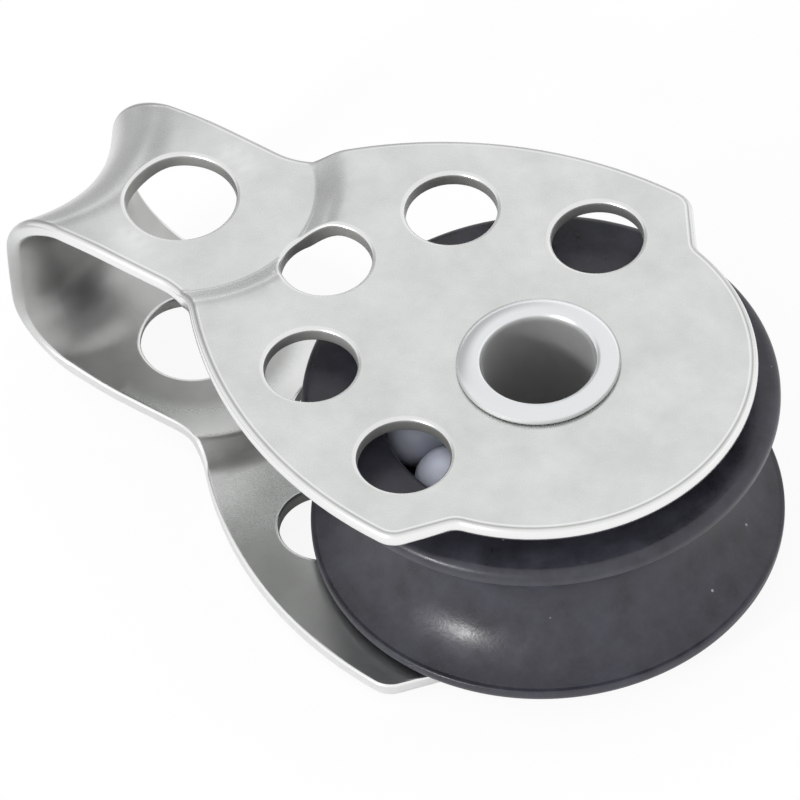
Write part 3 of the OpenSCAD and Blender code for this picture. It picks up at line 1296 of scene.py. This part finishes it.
def sight(azimuth: float, elevation: float) -> tuple[np.ndarray, np.ndarray, np.ndarray]:
    """The directions to the right, up and back of something that looks at the block.

    Back is (sin a cos e, -cos a cos e, sin e), and right is (cos a, sin a, 0).

    Args:
        azimuth: The angle a, in degrees from -Y towards +X.
        elevation: The angle e over the table, in degrees.

    Returns:
        Three unit arrays of X, Y and Z.
    """
    az, el = math.radians(azimuth), math.radians(elevation)
    back = np.array([math.sin(az) * math.cos(el), -math.cos(az) * math.cos(el), math.sin(el)])
    right = np.array([math.cos(az), math.sin(az), 0.0])
    return right, np.cross(back, right), back


def stand(thing: bpy.types.Object, right: np.ndarray, up: np.ndarray, back: np.ndarray,
          place: np.ndarray) -> None:
    """Turns and places a camera or a lamp.

    Args:
        thing: The camera or lamp.
        right: Its direction to the right.
        up: Its direction up.
        back: Its direction back, away from what it looks at.
        place: Where it stands, in millimetres.
    """
    columns = np.stack([right, up, back, place * MM], axis=1)
    thing.matrix_world = Matrix([*columns.tolist(), [0, 0, 0, 1]])


@dataclass
class PhotoCamera:
    """The photograph's camera, as solved from the round holes and the outline.

    Angles are in degrees and lengths in millimetres. The offsets move the camera sideways
    from a line through the aim, a point of the upper cheek's outer face next to the axle.
    """

    azimuth: float = 38.177
    elevation: float = 49.323
    roll: float = -4.403
    distance: float = 492.144
    offset_right: float = -6.141
    offset_up: float = -1.767
    aim_x: float = -0.2
    aim_y: float = 0.05
    focal_px: float = 10859.594
    frame_px: float = 800.0
    sensor_mm: float = 36.0
    nearest_mm: float = 10.0

    def build(self, face_z: float) -> bpy.types.Object:
        """Makes the camera and gives it to the scene.

        Args:
            face_z: Height of the upper cheek's outer face.

        Returns:
            The camera.
        """
        right, up, back = sight(self.azimuth, self.elevation)
        cosine, sine = math.cos(math.radians(self.roll)), math.sin(math.radians(self.roll))
        right, up = cosine * right + sine * up, cosine * up - sine * right
        place = right * self.offset_right + up * self.offset_up + back * self.distance
        data = bpy.data.cameras.new("photo_camera")
        data.sensor_width = self.sensor_mm
        data.lens = self.focal_px * self.sensor_mm / self.frame_px
        data.clip_start = self.nearest_mm * MM
        camera = add_object("photo_camera", data)
        stand(camera, right, up, back, place + [self.aim_x, self.aim_y, face_z])
        bpy.context.scene.camera = camera
        return camera


@dataclass(frozen=True)
class Lamp:
    """A square soft lamp that looks at the block."""

    name: str
    azimuth: float
    elevation: float
    distance_mm: float
    size_mm: float
    watts: float

    def build(self) -> bpy.types.Object:
        """Makes the lamp, turned towards the origin.

        Returns:
            The lamp.
        """
        data = bpy.data.lights.new(self.name, "AREA")
        data.size = self.size_mm * MM
        data.energy = self.watts
        lamp = add_object(self.name, data)
        right, up, back = sight(self.azimuth, self.elevation)
        stand(lamp, right, up, back, back * self.distance_mm)
        return lamp


@dataclass
class Studio:
    """A white table under a white sky, with the darker end of the room behind the block's head."""

    table_size_mm: float = 1500.0
    table_colour: str = "#F4F4F4"
    glow: float = 0.9
    shade_centre_mm: tuple[float, float, float] = (-8.0, 0.0, 0.0)
    # Distances from that centre between which a gloss starts to see the table glow.
    shade_mm: tuple[float, float] = (12.0, 34.0)
    sky: float = 1.0
    dark: float = 0.54
    dark_side: tuple[float, float, float] = (-0.85, 0.4, 0.33)
    # Cosines of the angle to the dark side between which the sky darkens.
    dark_edge: tuple[float, float] = (0.82, 0.95)
    window: float = 0.9
    # The window's middle and half its height, as the Z of a direction, and Y where it fades in.
    window_height: float = 0.3
    window_half: float = 0.1
    window_side: tuple[float, float] = (0.28, 0.48)
    brightest: float = 1.25
    dark_table: float = 0.54
    dark_table_side: tuple[float, float, float] = (-0.87, 0.47, 0.0)
    # Distances to that side between which a gloss sees the table darken.
    dark_table_mm: tuple[float, float] = (32.0, 60.0)
    lamps: tuple[Lamp, ...] = (
        Lamp("key_lamp", azimuth=-11.0, elevation=24.0, distance_mm=600.0, size_mm=80.0, watts=1.65),
    )

    def build_sky(self) -> None:
        """The world: white to the camera. To all else it is white with a dark end of the room.

        The dark end fades in with the cosine of the angle to its middle, and a low window
        lights a band of it on the +Y side.
        """
        world = bpy.data.worlds.new("white_tent")
        bpy.context.scene.world = world
        tree = blank_tree(world)
        direction = add_node(tree, "ShaderNodeTexCoord").outputs["Generated"]
        cosine = add_node(tree, "ShaderNodeVectorMath", {0: direction, 1: self.dark_side},
                          operation="DOT_PRODUCT")
        room = add_node(tree, "ShaderNodeMapRange", {
            "Value": cosine, "From Min": self.dark_edge[0], "From Max": self.dark_edge[1],
            "To Min": self.sky, "To Max": self.dark}, interpolation_type="SMOOTHSTEP")
        parts = add_node(tree, "ShaderNodeSeparateXYZ", {"Vector": direction}).outputs
        above = add_node(tree, "ShaderNodeMath", {0: parts["Z"], 1: self.window_height},
                         operation="SUBTRACT")
        away = add_node(tree, "ShaderNodeMath", {0: above}, operation="ABSOLUTE")
        window = add_node(tree, "ShaderNodeMapRange", {
            "Value": away, "From Min": 0.0, "From Max": self.window_half,
            "To Min": self.window, "To Max": 0.0}, interpolation_type="SMOOTHSTEP")
        beside = add_node(tree, "ShaderNodeMapRange", {
            "Value": parts["Y"], "From Min": self.window_side[0], "From Max": self.window_side[1],
            "To Min": 0.0, "To Max": 1.0}, interpolation_type="SMOOTHSTEP")
        pane = add_node(tree, "ShaderNodeMath", {0: window, 1: beside}, operation="MULTIPLY")
        lit = add_node(tree, "ShaderNodeMath", {0: room, 1: pane}, operation="ADD")
        level = add_node(tree, "ShaderNodeMath", {0: lit, 1: self.brightest}, operation="MINIMUM")
        to_camera = add_node(tree, "ShaderNodeLightPath").outputs["Is Camera Ray"]
        strength = add_node(tree, "ShaderNodeMix", {
            "Factor": to_camera, "A": level, "B": 1.0}, data_type="FLOAT")
        light = add_node(tree, "ShaderNodeBackground", {"Color": WHITE, "Strength": strength})
        add_node(tree, "ShaderNodeOutputWorld", {"Surface": light})

    def build_table(self, height_mm: float) -> bpy.types.Object:
        """The table: matt white, and mostly glowing white where the camera or a gloss sees it.

        A gloss sees it darker towards the dark end of the room, and without the glow under the
        block and close to it, where less light gets.

        Args:
            height_mm: Height of its top.

        Returns:
            The table, which is no part of the block.
        """
        half = self.table_size_mm / 2
        corners = np.array([[-half, -half], [half, -half], [half, half], [-half, half]])
        mesh = bpy.data.meshes.new("white_table")
        points = np.concatenate([corners, np.full((4, 1), height_mm)], axis=1) * MM
        mesh.from_pydata(points.tolist(), [], [[0, 1, 2, 3]])
        material, tree, place = new_material("matt_white_table")
        flat = add_node(tree, "ShaderNodeVectorMath", {0: place, 1: (1.0, 1.0, 0.0)}, operation="MULTIPLY")
        centre = tuple(value * MM for value in self.shade_centre_mm)
        away = add_node(tree, "ShaderNodeVectorMath", {0: flat, 1: centre}, operation="DISTANCE")
        open_table = add_node(tree, "ShaderNodeMapRange", {
            "Value": away, "From Min": self.shade_mm[0] * MM, "From Max": self.shade_mm[1] * MM,
            "To Min": 0.0, "To Max": 1.0}, interpolation_type="SMOOTHSTEP")
        reach = add_node(tree, "ShaderNodeVectorMath", {0: flat, 1: self.dark_table_side},
                         operation="DOT_PRODUCT")
        level = add_node(tree, "ShaderNodeMapRange", {
            "Value": reach, "From Min": self.dark_table_mm[0] * MM, "From Max": self.dark_table_mm[1] * MM,
            "To Min": 1.0, "To Max": self.dark_table}, interpolation_type="SMOOTHSTEP")
        path = add_node(tree, "ShaderNodeLightPath").outputs
        gloss = add_node(tree, "ShaderNodeMath", {
            0: path["Is Glossy Ray"], 1: path["Is Transmission Ray"]}, operation="MAXIMUM")
        open_gloss = add_node(tree, "ShaderNodeMath", {0: gloss, 1: open_table}, operation="MULTIPLY")
        seen = add_node(tree, "ShaderNodeMath", {0: path["Is Camera Ray"], 1: open_gloss},
                        operation="MAXIMUM")
        share = add_node(tree, "ShaderNodeMath", {0: seen, 1: self.glow}, operation="MULTIPLY")
        shown = add_node(tree, "ShaderNodeMix", {
            "Factor": path["Is Camera Ray"], "A": level, "B": 1.0}, data_type="FLOAT")
        matt = add_node(tree, "ShaderNodeBsdfDiffuse", {"Color": linear(self.table_colour)})
        white = add_node(tree, "ShaderNodeEmission", {"Color": WHITE, "Strength": shown})
        mixed = add_node(tree, "ShaderNodeMixShader", {0: share, 1: matt, 2: white})
        add_node(tree, "ShaderNodeOutputMaterial", {"Surface": mixed})
        mesh.materials.append(material)
        table = add_object("white_table", mesh)
        return table

    def build(self, height_mm: float) -> None:
        """Makes the sky, the table and the lamps, and keeps colours as they are written.

        Args:
            height_mm: Height of the table's top.
        """
        bpy.context.scene.view_settings.view_transform = "Standard"
        self.build_sky()
        self.build_table(height_mm)
        for lamp in self.lamps:
            lamp.build()


def main() -> None:
    """Builds the studio and every piece of the block."""
    logging.basicConfig(level=logging.INFO, format="%(name)s: %(message)s")
    _, strap_high = cad_extent("strap_frame")
    rivet_low, _ = cad_extent("hollow_rivet")
    PhotoCamera().build(float(strap_high[2]))
    Studio().build(float(rivet_low[2]))
    StrapFrame(TumbledStainless("tumbled_stainless_sheet")).build()
    # The rivet's colours are darker than the sheet's, as painted shade in its bore, and its lighter colour
    # paints the rolled rings' highlight.
    axle = Axle(TumbledStainless("rolled_stainless_tube", colour="#CACBCA", dull_colour="#BDBEBD",
                                 painted_highlight_colour="#E3E5E7", roughness=0.68, roughness_spread=0.04),
                TumbledStainless("turned_stainless_sleeve", roughness=0.3))
    axle.build_rivet()
    axle.build_race()
    Sheave(MouldedAcetal("moulded_charcoal_acetal")).build()
    ball_material = GroundAcetal("ground_white_acetal").build()
    for side in Side:
        BallRow(side, ball_material).build()


if __name__ == "__main__":
    main()
